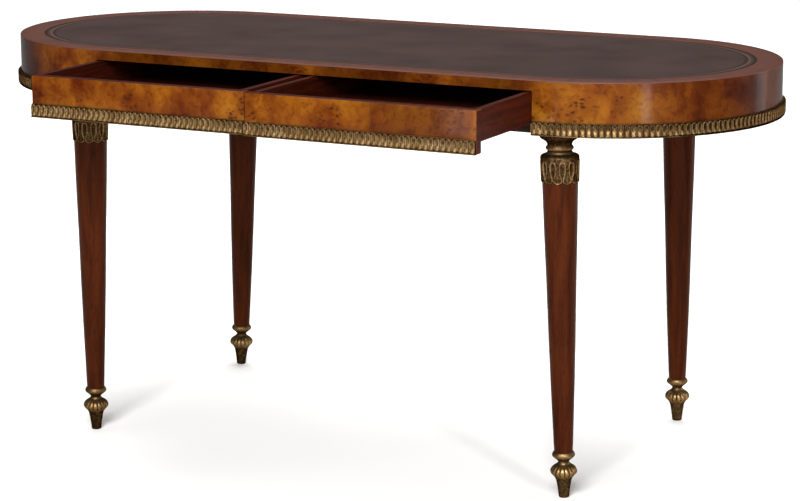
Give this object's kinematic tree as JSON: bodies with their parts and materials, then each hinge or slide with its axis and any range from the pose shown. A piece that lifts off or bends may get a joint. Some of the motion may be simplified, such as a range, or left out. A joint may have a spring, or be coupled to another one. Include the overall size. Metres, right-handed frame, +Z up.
{
  "type": "writing desk",
  "caption": "Racetrack-shaped writing desk with a leather-lined top, frieze drawers, brass tongue moulding and round tapered legs on ribbed brass feet.",
  "frame": {"origin": "on the floor, at the centre of the four feet", "axes": "+X along the desk to the sitter's right, the sitter at -Y, +Z up"},
  "size_m": [1.5776, 0.8886, 0.762],
  "materials": {
    "writing_leather": "dark brown hide with a tooled line near the edge",
    "crossband_veneer": "polished walnut crossbanding",
    "burl_veneer": "french-polished burl veneer",
    "carcass_wood": "stained secondary wood",
    "mahogany": "polished mahogany",
    "drawer_wood": "waxed mahogany",
    "antique_brass": "antique brass, dark in the hollows",
    "steel": "plain steel"
  },
  "bodies": {
    "carcass": {"border_crossband": "crossband_veneer", "writing_leather": "writing_leather", "left_end_apron": "burl_veneer", "right_end_apron": "burl_veneer", "back_rail": "burl_veneer", "front_rail": "carcass_wood", "right_cross_rail": "carcass_wood", "left_cross_rail": "carcass_wood", "right_runner": "carcass_wood", "left_runner": "carcass_wood", "centre_runner": "carcass_wood", "centre_guide": "carcass_wood", "leg_blocks": "carcass_wood", "glue_blocks": "carcass_wood", "top_panel": "carcass_wood", "front_left_leg": "mahogany", "front_right_leg": "mahogany", "back_left_leg": "mahogany", "back_right_leg": "mahogany", "right_end_moulding": "antique_brass", "left_end_moulding": "antique_brass", "back_moulding": "antique_brass", "leg_capitals": "antique_brass", "leg_feet": "antique_brass", "leg_screws": "steel"},
    "left_drawer": {"left_drawer_front": "burl_veneer", "left_drawer_moulding": "antique_brass", "left_drawer_outer_side": "drawer_wood", "left_drawer_inner_side": "drawer_wood", "left_drawer_bottom": "drawer_wood", "left_drawer_back": "drawer_wood"},
    "right_drawer": {"right_drawer_front": "burl_veneer", "right_drawer_moulding": "antique_brass", "right_drawer_outer_side": "drawer_wood", "right_drawer_inner_side": "drawer_wood", "right_drawer_bottom": "drawer_wood", "right_drawer_back": "drawer_wood"}
  },
  "joints": [
    {"name": "left_drawer_slide", "type": "slide", "parent": "carcass", "child": "left_drawer", "axis": [0, -1, 0], "range_m": [-0.2165, 0.1835]},
    {"name": "right_drawer_slide", "type": "slide", "parent": "carcass", "child": "right_drawer", "axis": [0, -1, 0], "range_m": [-0.225, 0.175]}
  ]
}
